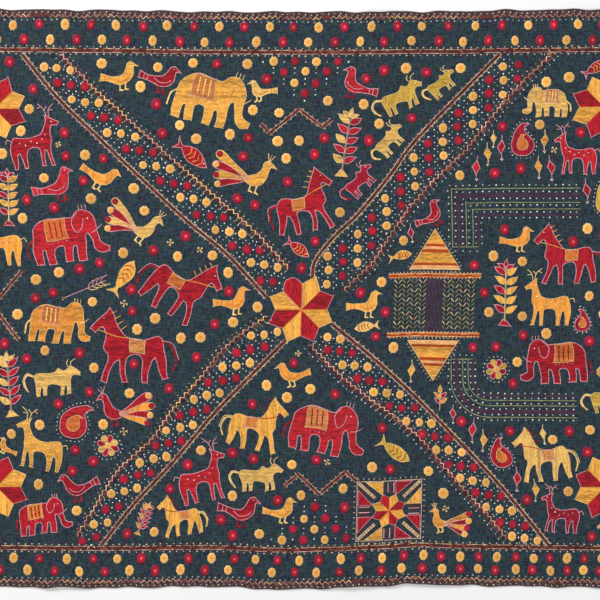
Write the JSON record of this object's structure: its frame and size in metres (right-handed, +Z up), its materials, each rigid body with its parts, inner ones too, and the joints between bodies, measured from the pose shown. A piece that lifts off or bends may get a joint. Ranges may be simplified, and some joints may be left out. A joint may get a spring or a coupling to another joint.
{
  "type": "phulkari cloth",
  "caption": "Long rectangular hand-woven cotton cloth with silk embroidery, lying flat and face up, with slightly wavering edges and low soft folds.",
  "frame": {"origin": "under the middle of the cloth, on the surface that it lies on", "axes": "+X along the cloth from hem to hem, +Y across it from selvedge to selvedge, +Z up out of the embroidered face"},
  "size_m": [2.206, 1.3288, 0.0052],
  "materials": {
    "cloth": "matte",
    "gold_floss": "satin",
    "crimson_floss": "satin",
    "pale_thread": "matte"
  },
  "bodies": {
    "root": {"cloth": "cloth"}
  },
  "joints": []
}
